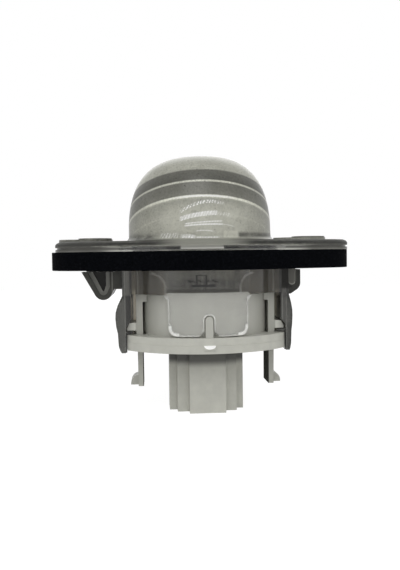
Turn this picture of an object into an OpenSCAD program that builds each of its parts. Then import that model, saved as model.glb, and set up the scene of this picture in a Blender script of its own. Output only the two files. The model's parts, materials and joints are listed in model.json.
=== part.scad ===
// Number plate lamp of a car: a clear domed lens on a clear clip housing, a foam gasket
// under the flange, and a plug-in bulb holder with its festoon bulb and two contacts.
// X runs along the flange, Z points up through the dome, and the front is -Y.
// The origin is the middle of the gasket's underside, which seats on the car's panel.

/* [Flange] */
// Radius of each end of the flange, round its screw
flange_end_r = 9.5; // [8.5:0.5:12]
// How far the flange's middle stands out past the dome, front and back
flange_rim = 3.3; // [2.8:0.1:5]
// Thickness of the lens plate, the upper layer of the flange
lens_plate_t = 1.3; // [1.1:0.1:2]
// Thickness of the housing plate, the lower layer of the flange
seat_plate_t = 1.1; // [0.9:0.1:2]
// Height of the groove between the two layers
seam_h = 0.45; // [0.2:0.05:0.6]
// Depth of the groove between the two layers
seam_depth = 0.4; // [0.2:0.1:0.8]
// Rounding of the flange's upper edge
edge_r = 1; // [0.5:0.1:1]

/* [Screw eyes] */
// Distance from the outside of each cheek to its screw
screw_room = 6.7; // [6.2:0.1:9]
// Diameter of the screw holes in the plates
screw_d = 4.4; // [3:0.2:5]
// Outer diameter of the raised collar round each hole
collar_d = 8; // [7.8:0.2:10]
// Height of the collar above the flange
collar_h = 0.9; // [0.3:0.1:1.5]
// Diameter of the screw head's recess
head_d = 6.8; // [5.6:0.2:7.4]
// Depth of the screw head's recess
head_depth = 0.6; // [0.3:0.1:1]
// Length of the low pad under each collar
pad_l = 12.8; // [9:0.2:13]
// Width of the pads
pad_w = 8.4; // [7:0.2:9]
// Height of the pads above the flange
pad_h = 0.6; // [0.2:0.1:0.9]
// How far the pads lie off their screws, towards -X
pad_shift = 2.2; // [0:0.1:2.5]

/* [Gasket] */
// Thickness of the foam gasket
gasket_t = 4.3; // [3:0.1:6]
// How far the gasket stands out past the flange
gasket_grow = 0.35; // [0:0.05:0.5]
// How far the gasket was stuck on off centre, towards -X
gasket_shift = 0.45; // [0:0.05:0.6]
// Clearance of the gasket round the housing and the screws
gasket_gap = 0.3; // [0.2:0.1:0.5]

/* [Dome] */
// How far the dome's foot stands out past the skirt below it
dome_past = 0.1; // [0:0.1:0.6]
// Height of the dome above the flange
dome_h = 20.1; // [17:0.1:26]
// Wall of the dome at its foot
dome_wall = 2.3; // [2.1:0.1:3]
// Wall of the dome at its top
dome_top_wall = 2.1; // [1.9:0.1:3]
// Fillet between the dome and the flange
dome_fillet = 1.2; // [0.6:0.1:1.8]
// How far the dome stands off centre, towards -X
dome_shift = 0.7; // [0:0.1:0.8]
// Lean of the dome towards -X, which turns the light to that side
dome_lean = 1; // [0:0.1:2.5]
// Tilt of the stepped rings inside, which rise towards the front
ring_tilt = 15; // [0:1:16]
// Height of the lowest stepped ring above the flange, on the dome's axis
ring_1 = 2.2; // [2:0.1:4]
// Height of the second ring
ring_2 = 6.7; // [5.5:0.1:8]
// Height of the third ring
ring_3 = 9.9; // [8.8:0.1:11.5]
// Height of the top ring, under the cap
ring_4 = 13.4; // [12:0.1:15.5]
// Depth of the step at each ring
ring_step = 0.5; // [0.2:0.1:0.6]
// Number of fine upright flutes low in the dome's front wall
flutes = 15; // [11:2:25]
// Radius of each flute
flute_r = 0.3; // [0.2:0.05:0.45]
// Height of the flutes above the flange
flute_h = 5.4; // [3:0.1:6.5]

/* [Clip housing] */
// Wall of the skirt
skirt_wall = 1.5; // [1.2:0.1:1.7]
// Depth of the skirt below the gasket
skirt_drop = 5.6; // [5:0.1:6.5]
// Distance from the bulb's end to the outside of the flat cheek beside it
cheek_room = 3.8; // [3.6:0.1:5]
// Wall of the cheeks
cheek_wall = 1.6; // [1.2:0.1:1.7]
// Width of the cheeks and of the wings under them
cheek_w = 18; // [17:0.5:19]
// How far the wing on the V lug's side bulges past its cheek
left_bulge = 1.7; // [0.7:0.1:2]
// How far the wing on the round lug's side bulges past its cheek
right_bulge = 0.9; // [0.7:0.1:2]
// How much thicker each wing is than its cheek, down to the latch barb
wing_pad = 0.3; // [0:0.1:0.5]
// Depth of the wings below the gasket
wing_drop = 19.1; // [18.5:0.1:21]
// Width of the front tongue
tongue_w = 17.9; // [14:0.1:19]
// Depth of the front tongue below the gasket
tongue_drop = 14.7; // [13.5:0.1:15.5]
// Corner radius of the front tongue
tongue_r = 1.8; // [1:0.1:2.5]

/* [Mounting lugs] */
// How far the V lug on the left reaches past its cheek
v_reach = 9.3; // [8.5:0.1:9.6]
// Depth of the V lug below the gasket
v_drop = 6.8; // [6.5:0.1:8]
// How far the round lug on the right reaches past its cheek
nose_reach = 3; // [2.8:0.1:4.2]
// Depth of the round lug below the gasket
nose_drop = 6; // [5.6:0.1:6.5]
// Thickness of the lugs' rims
rim_t = 1.1; // [1:0.1:1.5]
// Width of the step inside each rim
rim_step = 0.9; // [0.4:0.1:1.1]
// Depth of the lugs' rims from front to back
rim_w = 4.8; // [4:0.1:5.2]
// Thickness of the web inside each rim
web_t = 1.4; // [1:0.1:2]
// Gap between the top of the lugs and the gasket
lug_gap = 0.3; // [0.1:0.1:0.6]

/* [Bulb holder] */
// Clearance between the holder and the housing
fit_gap = 0.3; // [0.2:0.05:0.4]
// Wall of the holder's tub
tub_wall = 1.4; // [1:0.1:1.8]
// Distance from the inside of each wing to the flat side of the tub, which the latch arm fills
arm_room = 4.5; // [4.2:0.1:5]
// How far the tub's round wall bows out past its flat sides
tub_bow = 1.15; // [0.8:0.05:1.5]
// How much wider the tub's flat sides are at the cross plate than at its rim, on each side
tub_draft = 0.4; // [0:0.1:0.6]
// Gap between the tub's rim and the underside of the gasket
tub_drop = 5; // [4.8:0.1:5.4]
// Distance from each tower's inner edge to the flat side of the tub
tower_l = 5.15; // [4:0.05:6]
// Rounding of the towers' inner top corners
tower_r = 2; // [1:0.1:3]
// Thickness of the holder's cross plate
plate_t = 3.5; // [2.5:0.1:4.5]
// How far the cross plate's front edge stands out past the skirt
plate_past = 0.5; // [0.4:0.1:1.2]
// Radius of the cross plate's front and back edges
plate_edge_r = 23; // [21:0.5:40]
// Width of the nub in the middle of the cross plate's front
nub_w = 2.6; // [1:0.2:4]
// Width of the key rib on the front of the tub
key_w = 1.7; // [1.2:0.1:2.5]
// Clearance of the tongue's slot round the key rib
key_gap = 0.25; // [0.15:0.05:0.4]

/* [Latch arms] */
// Thickness of the latch arms above the cross plate
arm_t = 1.5; // [1:0.1:1.5]
// Thickness of the latch arms' legs below the cross plate
leg_t = 1.3; // [1:0.1:1.5]
// Width of the latch arms
arm_w = 7; // [5:0.5:8]
// Gap between each arm and the foot of the tub
arm_gap = 0.2; // [0.15:0.05:0.6]
// Depth of the arms' ends below the gasket
arm_drop = 27.2; // [24:0.1:30]
// Clearance between each barb and the wing beside it
barb_gap = 0.25; // [0.2:0.05:0.6]
// Depth of the barbs' undersides below the gasket
barb_drop = 14.1; // [13.8:0.1:14.1]
// How far the catch reaches under each barb
catch_l = 1.8; // [1:0.1:2]
// Clearance of the catches, between the barb and the cross plate
catch_gap = 0.15; // [0.1:0.05:0.2]
// Radius of the quarter-round foot on each arm
foot_r = 2; // [1.5:0.1:2.6]

/* [Connector] */
// Depth of the connector's mouth below the gasket
mouth_drop = 33.1; // [29:0.1:38]
// Offset of the connector and the arms towards the front
plug_y = 3; // [2:0.1:4]
// Length of the connector shell from front to back
shell_l = 16; // [15:0.5:18]
// Depth of each step in the shell's outline
shell_step = 2.4; // [1.8:0.1:2.8]
// Width of the shell's middle strip, which stands furthest out
shell_mid_w = 8.4; // [8:0.1:9.5]
// Width of the shell's second strip
shell_second_w = 13.8; // [12.5:0.1:14.5]
// Width of the shell over its outer strips
shell_w = 17.4; // [17:0.1:19]
// Wall of the connector shell
shell_wall = 1.3; // [1:0.1:1.5]
// Depth of the socket inside the shell
socket_depth = 12; // [9:0.5:13]

/* [Bulb] */
// Height of the bulb's axis above the gasket's underside
bulb_z = 0.5; // [0.2:0.1:0.8]
// Length of the bulb over its caps
bulb_l = 31; // [30:0.1:31.4]
// Diameter of the glass
glass_d = 9.8; // [8:0.1:10]
// Thickness of the glass
glass_t = 0.6; // [0.4:0.1:0.8]
// Length of each cap
cap_l = 6.3; // [5:0.1:7]
// Diameter of the caps
cap_d = 7.6; // [6.6:0.1:7.8]
// Length of each cap's pointed end
cap_point = 2.4; // [1.5:0.1:3]
// Diameter of the filament
filament_d = 0.7; // [0.5:0.1:1.2]
// Length of the filament
filament_l = 7; // [6:0.5:10]
// Diameter of the wires that carry the filament
lead_d = 0.5; // [0.4:0.05:0.8]

/* [Contacts] */
// Thickness of the contact strip
strip_t = 0.6; // [0.4:0.1:0.8]
// Width of the contact strip
strip_w = 2.8; // [2.2:0.1:3.2]
// Width of the leaf that presses on the bulb's cap
leaf_w = 5; // [4:0.2:6]
// Distance between the two blades in the connector
blade_pitch = 6; // [5.5:0.1:6.4]
// Length of the blades inside the socket
blade_l = 9; // [5:0.5:9]
// Clearance of the holder's slots round the strips
strip_gap = 0.1; // [0.05:0.05:0.2]

/* [Hidden] */

$fn = 96;
// A cut runs this far past the face that it opens
past = 1;

// The wings' inside lies this far in from the cheeks' outside
wing_set_in = 0.65;

// Lengths along X, from the bulb out to the flange's ends
glass_l = bulb_l - 2 * cap_l;
cheek_x = bulb_l / 2 + cheek_room;
screw_spacing = 2 * (cheek_x + screw_room);
flange_l = screw_spacing + 2 * flange_end_r;
wing_in = cheek_x - wing_set_in;
tub_x = wing_in - arm_room;
tub_foot_x = tub_x + tub_draft;

// Radii about the Z axis, from the tub out to the flange's rim
tub_r = tub_x + tub_bow;
skirt_in = tub_r + fit_gap;
skirt_r = skirt_in + skirt_wall;
dome_r = skirt_r + dome_past;
flange_w = 2 * (dome_r + flange_rim);

// Levels of the flange, from the gasket's underside up
seat_z = gasket_t;
lens_z = seat_z + seat_plate_t;
top_z = lens_z + lens_plate_t;
// Exponents of the dome's outline, a squared-off dome
dome_exp_r = 2.8;
dome_exp_h = 2.7;
light_r = dome_r - dome_wall;
// The light's way through the lens plate is this much narrower than the dome's hollow
light_ledge = 0.4;
inner_h = dome_h - dome_top_wall;
ring_levels = [ring_1, ring_2, ring_3, ring_4];

// Width of the necks that carry the lugs, and the inside of the cheeks
neck_w = 1.8;
cheek_in = cheek_x - cheek_wall;
v_foot_r = 2.1;
v_foot_in = 2.6;
nose_corner_r = 2;
neck_h = 4;

// Holder, from the housing's inside faces
plate_x = wing_in - fit_gap;
plate_y = skirt_r + plate_past;
plate_top = -(tongue_drop + fit_gap);
plate_bottom = plate_top - plate_t;
key_out = skirt_r + 0.2;
plate_set_back = 0.15;
nub_past = 0.25;
slot_w = key_w + 2 * key_gap;
slot_top = -10;
slot_centre = slot_top - slot_w / 2;
arm_in = tub_foot_x + arm_gap;
arm_out = arm_in + arm_t;
arm_y = -plug_y - 0.5;
arm_top = -tub_drop - 0.9;
tower_x = arm_out + 0.1;
tower_in = tub_x - tower_l;
tower_y = cheek_w / 2 - cheek_wall - fit_gap;
tower_gap_y = 4.6;
arm_bridge_h = 1.5;
barb_out = wing_in - barb_gap;
barb_h = 1.8;
barb_slant = [0.55, 1.3];
// Levels between which the inside of each wing slants out beside the barb
slant_top = -barb_drop + barb_h + 0.75;
slant_foot = slant_top - 1.65;
foot_set_back = 1.2;
foot_h = 0.5;
foot_lift = 0.2;

// Bulb and its seat in the holder
cap_x = glass_l / 2;
tip_x = bulb_l / 2;
post_x = [cap_x + 0.3, tub_x - tub_wall];
post_y = [strip_w / 2 + fit_gap, 6];
leaf_x = tip_x + 0.1;
drop_x = (post_x[0] + post_x[1]) / 2 - 0.2;
leaf_top = seat_z - 0.6;
leaf_foot = -tub_drop + 0.2;
leaf_hole_d = 1.4;
blade_x = blade_pitch / 2;
socket_top = -mouth_drop + socket_depth;
blade_end = socket_top - blade_l;

// Points of an arc about the point c, in n steps
function arc(r, a0, a1, n, c = [0, 0]) =
    [for (i = [0:n]) let (a = a0 + (a1 - a0) * i / n) c + r * [cos(a), sin(a)]];

// Outline of the flange: two end circles and a middle circle joined by their tangents
function lozenge(grow) =
    let (
        end_r = flange_end_r + grow,
        mid_r = flange_w / 2 + grow,
        c = flange_l / 2 - flange_end_r,
        a = asin((mid_r - end_r) / c)
    )
    concat(
        arc(end_r, a - 90, 90 - a, 20, [c, 0]),
        arc(mid_r, 90 - a, 90 + a, 14),
        arc(end_r, 90 + a, 270 - a, 20, [-c, 0]),
        arc(mid_r, 270 - a, 270 + a, 14)
    );

// Points up the outline of a dome in n steps, from just above its foot to its top
function dome_curve(r, h, n) =
    [for (i = [3:n]) let (a = 90 * i / n)
        [r * pow(max(cos(a), 0), 2 / dome_exp_r), h * pow(sin(a), 2 / dome_exp_h)]];

module flange_layer(z, h, grow) {
    translate([0, 0, z]) linear_extrude(h) polygon(lozenge(grow));
}

module both_sides() {
    children();
    mirror([1, 0, 0]) children();
}

module screw_holes(d, z, h) {
    both_sides() translate([screw_spacing / 2, 0, z]) cylinder(d = d, h = h);
}

// Extrudes an outline drawn in X and Z from y0 to y1
module along_y(y0, y1) {
    translate([0, y1, 0]) rotate([90, 0, 0]) linear_extrude(y1 - y0) children();
}

module block(lo, hi) {
    translate(lo) cube(hi - lo);
}

// Places what is drawn about the dome's own axis, from the flange's top up
module on_dome_axis() {
    translate([-dome_shift, 0, top_z]) rotate([0, -dome_lean, 0]) children();
}

// An upright foot with its fillet, and the leaning dome that starts inside it
module dome_outside() {
    translate([-dome_shift, 0, top_z]) rotate_extrude(convexity = 4) polygon(concat(
        [[0, -lens_plate_t / 2], [dome_r + dome_fillet, -lens_plate_t / 2]],
        arc(dome_fillet, 270, 200, 5, [dome_r + dome_fillet, dome_fillet]),
        [[0, 0.7 * dome_fillet]]
    ));
    on_dome_axis() dome(dome_r, dome_h, 36);
}

module dome(r, h, n) {
    rotate_extrude(convexity = 4) polygon(concat([[0, 0], [r, 0]], dome_curve(r, h, n), [[0, h]]));
}

// Everything below a plane that crosses the dome's axis at the height h and rises to the front
module below_ring(h) {
    half = 2 * dome_r;
    translate([-dome_shift, 0, top_z + h]) rotate([-ring_tilt, 0, 0])
        block([-half, -half, -2 * half], [half, half, 0]);
}

// The hollow of the dome: a plain round foot under bands that step in at the tilted rings
module dome_hollow() {
    translate([-dome_shift, 0, lens_z - past])
        cylinder(r = light_r - light_ledge, h = lens_plate_t + past + ring_1);
    for (i = [0:len(ring_levels) - 1])
        intersection() {
            on_dome_axis() dome(light_r - i * ring_step, inner_h, 24);
            below_ring(ring_levels[i]);
        }
    on_dome_axis() dome(light_r - len(ring_levels) * ring_step, inner_h, 24);
}

module dome_flutes() {
    flute_pitch = 2.4 * flute_r / light_r * 180 / PI;
    for (i = [0:flutes - 1])
        on_dome_axis() rotate((i - (flutes - 1) / 2) * flute_pitch)
            translate([0, -light_r - flute_r * 0.3, -flute_r])
                cylinder(r = flute_r, h = flute_r + flute_h, $fn = 24);
}

// Low pads with round ends under the collars
module pads() {
    end = (pad_l - pad_w) / 2;
    for (side = [-1, 1])
        translate([side * screw_spacing / 2 - pad_shift, 0, lens_z + lens_plate_t / 2])
            linear_extrude(lens_plate_t / 2 + pad_h) polygon(concat(
                arc(pad_w / 2, -90, 90, 14, [end, 0]),
                arc(pad_w / 2, 90, 270, 14, [-end, 0])
            ));
}

module lens() {
    color([0.86, 0.87, 0.83, 0.55]) difference() {
        union() {
            hull() {
                flange_layer(lens_z, lens_plate_t - 0.7 * edge_r, 0);
                flange_layer(top_z - 0.3 * edge_r, 0.01, -0.35 * edge_r);
                flange_layer(top_z - 0.01, 0.01, -edge_r);
            }
            dome_outside();
            pads();
            screw_holes(collar_d, lens_z + lens_plate_t / 2, lens_plate_t / 2 + collar_h);
        }
        dome_hollow();
        screw_holes(screw_d, lens_z - past, lens_plate_t + collar_h + 2 * past);
        screw_holes(head_d, top_z + collar_h - head_depth, head_depth + past);
    }
    color([0.86, 0.87, 0.83, 0.55]) dome_flutes();
}

// Outline of one cheek with its wing, drawn on the right. Its inside is thick down to the
// latch barb, and then slants out beside it.
module cheek_outline(bulge) {
    pad_in = cheek_in - wing_pad;
    // Share of the bulge at each depth below the skirt
    swell = [[0.05, 0.3], [0.65, 2.4], [0.95, 4], [1, 5.5], [0.9, 7.4], [0.7, 8.9], [0.6, 11.9], [0.4, 12.9]];
    polygon(concat(
        [[cheek_x, lens_z - seat_plate_t / 2]],
        [for (p = swell) [cheek_x + p[0] * bulge, -skirt_drop - p[1]]],
        [[cheek_x + 0.2 * bulge, -wing_drop], [wing_in, -wing_drop], [wing_in, slant_foot]],
        [[pad_in, slant_top], [pad_in, -skirt_drop - 0.4]],
        [[cheek_in, -skirt_drop + 0.4], [cheek_in, lens_z - seat_plate_t / 2]]
    ));
}

module skirt_solid(r, x, w, z, h) {
    translate([0, 0, z]) cylinder(r = r, h = h);
    block([-x, -w / 2, z], [x, w / 2, z + h]);
}

// The V lug in X and Z, its rim's inner edge drawn in by inset
module v_outline(inset) {
    neck = -cheek_x - neck_w;
    out = -cheek_x - v_reach;
    foot = neck - v_foot_in;
    r = max(v_foot_r - inset, 0.2);
    polygon(concat(
        [[out + 1.25 * inset, -lug_gap]],
        arc(r, 213, 340, 8, [foot, -v_drop + r + inset]),
        [[neck - inset, -v_drop + v_foot_in + 0.4 * inset], [neck - inset, -lug_gap]]
    ));
}

// The round lug, whose corner runs down into the wing as a slant
module nose_outline(inset) {
    out = cheek_x + nose_reach;
    r = max(nose_corner_r - inset, 0.2);
    polygon(concat(
        [[cheek_x - 0.6, -lug_gap], [cheek_x - 0.6, -nose_drop + 1.4 * inset]],
        [[cheek_x + 0.7, -nose_drop + 1.4 * inset]],
        arc(r, 306, 360, 5, [out - inset - r, -nose_drop + nose_corner_r + 0.6 + 0.1 * inset]),
        [[out - inset, -lug_gap]]
    ));
}

module lug_outline(inset) {
    v_outline(inset);
    nose_outline(inset);
}

// A lug is a deep rim, a step inside it and a thinner web, with a neck up to the flange
module lug(y) {
    step_w = (rim_w + web_t) / 2;
    along_y(y - rim_w / 2, y + rim_w / 2) difference() {
        lug_outline(0);
        lug_outline(rim_t);
    }
    along_y(y - step_w / 2, y + step_w / 2) difference() {
        lug_outline(rim_t / 2);
        lug_outline(rim_t + rim_step);
    }
    along_y(y - web_t / 2, y + web_t / 2) lug_outline(rim_t / 2);
    both_sides() block([cheek_x - cheek_wall / 2, y - rim_w / 2, -lug_gap - neck_h],
        [cheek_x + neck_w, y + rim_w / 2, seat_z + seat_plate_t / 4]);
}

module tongue_outline() {
    hw = tongue_w / 2;
    bottom = -tongue_drop;
    difference() {
        polygon(concat(
            [[-hw - 1, -skirt_drop + 1], [-hw - 0.8, -skirt_drop - 0.3], [-hw - 0.1, -skirt_drop - 1.3]],
            arc(tongue_r, 180, 270, 6, [-hw + tongue_r, bottom + tongue_r]),
            arc(tongue_r, 270, 360, 6, [hw - tongue_r, bottom + tongue_r]),
            [[hw + 0.1, -skirt_drop - 1.3], [hw + 0.8, -skirt_drop - 0.3], [hw + 1, -skirt_drop + 1]]
        ));
        translate([0, slot_centre]) circle(d = slot_w);
        translate([-slot_w / 2, bottom - past]) square([slot_w, slot_centre - bottom + past]);
        for (side = [-1, 1])
            polygon([
                [side * slot_w / 2, bottom + 1.2], [side * (slot_w / 2 + 1.2), bottom],
                [side * (slot_w / 2 + 1.2), bottom - past], [0, bottom - past]
            ]);
    }
}

module lens_housing() {
    skirt_top = lens_z - seat_plate_t / 2;
    color([0.62, 0.61, 0.57, 0.6]) difference() {
        union() {
            flange_layer(seat_z, seat_plate_t - seam_h, 0);
            flange_layer(lens_z - seam_h, seam_h, -seam_depth);
            skirt_solid(skirt_r, cheek_x, cheek_w, -skirt_drop, skirt_top + skirt_drop);
            along_y(-cheek_w / 2, cheek_w / 2) {
                cheek_outline(right_bulge);
                mirror([1, 0]) cheek_outline(left_bulge);
            }
            // Catches under the latch barbs
            both_sides() block([wing_in - catch_l, arm_y - arm_w / 2 - fit_gap, plate_top + catch_gap],
                [wing_in + 0.4, arm_y + arm_w / 2 + fit_gap, -barb_drop - catch_gap]);
            for (y = [-1, 1])
                lug(y * (cheek_w / 2 - 1 - rim_w / 2));
            intersection() {
                translate([0, 0, -tongue_drop - past]) difference() {
                    cylinder(r = skirt_r, h = tongue_drop);
                    translate([0, 0, -past]) cylinder(r = skirt_in, h = tongue_drop + 2 * past);
                }
                along_y(-skirt_r - past, 0) tongue_outline();
            }
        }
        skirt_solid(skirt_in, cheek_in, cheek_w - 2 * cheek_wall,
            -skirt_drop - past, seat_z + skirt_drop + past);
        translate([0, 0, seat_z - past]) cylinder(r = light_r, h = seat_plate_t + 2 * past);
        screw_holes(screw_d, seat_z - past, seat_plate_t + 2 * past);
    }
}

module gasket() {
    color([0.08, 0.08, 0.09]) difference() {
        translate([-gasket_shift, 0, 0]) flange_layer(0, gasket_t, gasket_grow);
        translate([0, 0, -past]) cylinder(r = skirt_r + gasket_gap, h = gasket_t + 2 * past);
        block([-cheek_x - neck_w - gasket_gap, -cheek_w / 2 - gasket_gap, -past],
            [cheek_x + neck_w + gasket_gap, cheek_w / 2 + gasket_gap, gasket_t + past]);
        screw_holes(screw_d, -past, gasket_t + 2 * past);
    }
}

// Outline of the connector shell: three strips, each set back from the one inside it
module shell_outline(inset) {
    widths = [shell_mid_w, shell_second_w, shell_w];
    for (i = [0:2])
        square([widths[i] - 2 * inset, shell_l - 2 * (i * shell_step + inset)], center = true);
}

// Outline of the cross plate, its front and back edges drawn in by inset
module plate_outline(inset) {
    intersection() {
        square([2 * plate_x, 2 * plate_y + past], center = true);
        translate([0, plate_edge_r - plate_y + inset]) circle(r = plate_edge_r, $fn = 180);
        translate([0, plate_y - plate_edge_r - inset]) circle(r = plate_edge_r, $fn = 180);
    }
}

// Plan of the towers' outside, which follows the inside of the skirt and its cheeks
module tower_plan(inset) {
    circle(r = tub_r - inset);
    square([2 * (tower_x - inset), 2 * (tower_y - inset)], center = true);
}

// Four corner walls on the tub that carry the bulb's ends and the latch arms
module towers() {
    intersection() {
        translate([0, 0, arm_top]) linear_extrude(bulb_z - arm_top) difference() {
            tower_plan(0);
            tower_plan(tub_wall);
            square([2 * tower_x + past, 2 * tower_gap_y], center = true);
        }
        along_y(-tub_r - past, tub_r + past) both_sides() polygon(concat(
            [[tower_x + past, bulb_z + past], [tower_x + past, arm_top - past], [tower_in, arm_top - past]],
            arc(tower_r, 180, 90, 8, [tower_in + tower_r, bulb_z - tower_r]),
            [[tower_in + tower_r, bulb_z + past]]
        ));
    }
}

// One latch arm in X and Z, drawn on the right: bridge, arm, leg below the plate, and barb
module arm_outline() {
    leg_out = arm_in + leg_t;
    barb_top = -barb_drop + barb_h;
    polygon([
        [arm_in, arm_top], [arm_out, arm_top], [arm_out, plate_top], [leg_out, plate_bottom],
        [leg_out - 0.1, -arm_drop], [arm_in - 0.05, -arm_drop], [arm_in, plate_bottom]
    ]);
    translate([tub_x - 0.4, arm_top - arm_bridge_h]) square([arm_out - tub_x + 0.4, arm_bridge_h]);
    polygon([
        [arm_out - 0.2, barb_top], [barb_out - barb_slant[0], barb_top],
        [barb_out, barb_top - barb_slant[1]], [barb_out, -barb_drop], [arm_out - 0.2, -barb_drop]
    ]);
}

// Quarter-round foot on the outside of the leg, just above the leg's end
module foot_outline() {
    c = [arm_in + leg_t - 0.3, -arm_drop + foot_h];
    polygon(concat(
        [[c[0], -arm_drop + foot_lift], [c[0] + foot_r, -arm_drop + foot_lift]],
        arc(foot_r, 0, 90, 8, c)
    ));
}

module holder_body() {
    // Tub under the bulb
    difference() {
        intersection() {
            translate([0, 0, plate_top - 0.5]) cylinder(r = tub_r, h = -tub_drop - plate_top + 0.5);
            along_y(-tub_r, tub_r) polygon([[-tub_x, -tub_drop], [tub_x, -tub_drop],
                [tub_foot_x, plate_top - 0.5], [-tub_foot_x, plate_top - 0.5]]);
        }
        intersection() {
            translate([0, 0, plate_top]) cylinder(r = tub_r - tub_wall, h = -plate_top);
            block([-tub_x + tub_wall, -tub_r, plate_top - past], [tub_x - tub_wall, tub_r, past]);
        }
    }
    towers();
    // Cross plate, whose upper half is set back a little
    translate([0, 0, plate_bottom]) linear_extrude(plate_t / 2) plate_outline(0);
    translate([0, 0, plate_bottom]) linear_extrude(plate_t) plate_outline(plate_set_back);
    // Nub in the middle of the front edge
    block([-nub_w / 2, -plate_y - nub_past, plate_bottom + plate_t / 4],
        [nub_w / 2, -plate_y + 1, plate_bottom + plate_t / 2]);
    // Key rib with a round top
    along_y(-key_out, -tub_r + tub_wall / 2) {
        translate([0, slot_centre]) circle(d = key_w);
        translate([-key_w / 2, plate_top - plate_t / 4])
            square([key_w, slot_centre - plate_top + plate_t / 4]);
    }
    // Connector shell
    translate([0, -plug_y, -mouth_drop]) linear_extrude(mouth_drop + plate_bottom + 0.5)
        shell_outline(0);
    // Posts that cradle the bulb's caps
    both_sides() for (turn = [0, 1])
        mirror([0, turn, 0]) block([post_x[0], post_y[0], plate_top - plate_t / 4],
            [post_x[1] + tub_wall / 2, post_y[1], bulb_z]);
}

module bulb_holder() {
    color([0.72, 0.71, 0.67]) difference() {
        union() {
            difference() {
                holder_body();
                // Slots in the cross plate for the latch arms
                both_sides() block([tub_x, arm_y - arm_w / 2 - fit_gap, plate_bottom - past],
                    [arm_out + arm_gap, arm_y + arm_w / 2 + fit_gap, plate_top + past / 2]);
            }
            both_sides() {
                along_y(arm_y - arm_w / 2, arm_y + arm_w / 2) arm_outline();
                along_y(arm_y - arm_w / 2 + foot_set_back, arm_y + arm_w / 2 - foot_set_back) foot_outline();
            }
        }
        // Socket for the car's plug
        translate([0, -plug_y, -mouth_drop - past]) linear_extrude(socket_depth + past)
            shell_outline(shell_wall);
        // Cradles for the caps and slots for the contact strips
        translate([-tip_x, 0, bulb_z]) rotate([0, 90, 0]) cylinder(d = cap_d + 2 * strip_gap, h = bulb_l);
        both_sides() contact(strip_gap);
    }
}

// One contact, drawn on the right: a leaf on the cap's point, a drop down the tub's end,
// a foot along the cross plate and a blade down into the socket. grow widens it all round.
module contact(grow) {
    g = [grow, grow, grow];
    difference() {
        union() {
            block([leaf_x, -leaf_w / 2, leaf_foot] - g, [leaf_x + strip_t, leaf_w / 2, leaf_top] + g);
            block([drop_x, -strip_w / 2, leaf_foot] - g,
                [leaf_x + strip_t, strip_w / 2, leaf_foot + strip_t] + g);
            block([drop_x, -strip_w / 2, plate_top] - g,
                [drop_x + strip_t, strip_w / 2, leaf_foot + strip_t] + g);
            block([blade_x - strip_t / 2, -plug_y - strip_w / 2, plate_top] - g,
                [drop_x + strip_t, strip_w / 2, plate_top + strip_t] + g);
            block([blade_x - strip_t / 2, -plug_y - strip_w / 2, blade_end] - g,
                [blade_x + strip_t / 2, -plug_y + strip_w / 2, plate_top + strip_t] + g);
        }
        if (grow == 0)
            translate([leaf_x - past, 0, bulb_z]) rotate([0, 90, 0])
                cylinder(d = leaf_hole_d, h = strip_t + 2 * past);
    }
}

module contact_left() {
    color([0.72, 0.66, 0.5]) mirror([1, 0, 0]) contact(0);
}

module contact_right() {
    color([0.72, 0.66, 0.5]) contact(0);
}

// Turns an outline of radius over length about the bulb's axis, along X
module round_bulb() {
    translate([0, 0, bulb_z]) rotate([0, 90, 0]) rotate_extrude(convexity = 4) children();
}

module bulb_glass() {
    r = glass_d / 2;
    end_r = cap_d / 2 - 0.6;
    shoulder = cap_x - 1.4;
    color([0.9, 0.93, 0.95, 0.4]) round_bulb() difference() {
        polygon([[0, -cap_x - 1], [end_r, -cap_x - 1], [end_r, -cap_x], [r, -shoulder], [r, shoulder],
            [end_r, cap_x], [end_r, cap_x + 1], [0, cap_x + 1]]);
        polygon([[0, -cap_x], [end_r - glass_t, -cap_x], [r - glass_t, -shoulder + 0.3],
            [r - glass_t, shoulder - 0.3], [end_r - glass_t, cap_x], [0, cap_x]]);
    }
}

// The cap is a drawn cup with a pointed end, and the glass sits in its mouth
module bulb_cap() {
    r = cap_d / 2;
    round_bulb() polygon([[r - 0.6, cap_x], [r, cap_x], [r, tip_x - cap_point - 0.4],
        [r - 0.4, tip_x - cap_point], [1, tip_x], [0, tip_x], [0, cap_x + 1], [r - 0.6, cap_x + 1]]);
}

module bulb_cap_left() {
    color([0.78, 0.77, 0.74]) mirror([1, 0, 0]) bulb_cap();
}

module bulb_cap_right() {
    color([0.78, 0.77, 0.74]) bulb_cap();
}

// The filament is a close coil, seen as a rod with a groove between its turns
module bulb_filament() {
    turns = 16;
    pitch = filament_l / turns;
    r = filament_d / 2;
    color([0.35, 0.35, 0.37]) round_bulb() polygon(concat(
        [[0, -filament_l / 2]],
        [for (i = [0:turns - 1], side = [0, 0.5]) [r - side * 0.3, (i + side) * pitch - filament_l / 2]],
        [[r, filament_l / 2], [0, filament_l / 2]]
    ));
}

module bulb_leads() {
    color([0.6, 0.58, 0.55]) for (side = [-1, 1])
        translate([side * (filament_l + 2 * cap_x) / 4, 0, bulb_z]) rotate([0, 90, 0])
            cylinder(d = lead_d, h = cap_x - filament_l / 2, center = true, $fn = 24);
}

lens();
lens_housing();
gasket();
bulb_holder();
contact_left();
contact_right();
bulb_glass();
bulb_cap_left();
bulb_cap_right();
bulb_filament();
bulb_leads();
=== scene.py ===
# Looks of a car's number plate lamp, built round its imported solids.
# Objects are in metres in the part's own frame: X along the flange, Z up, the front is -Y.
# Places inside the materials are in millimetres in the same frame.

import json
import math
from collections import namedtuple
from functools import reduce

import bmesh
import bpy
from mathutils import Matrix, Vector

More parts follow.
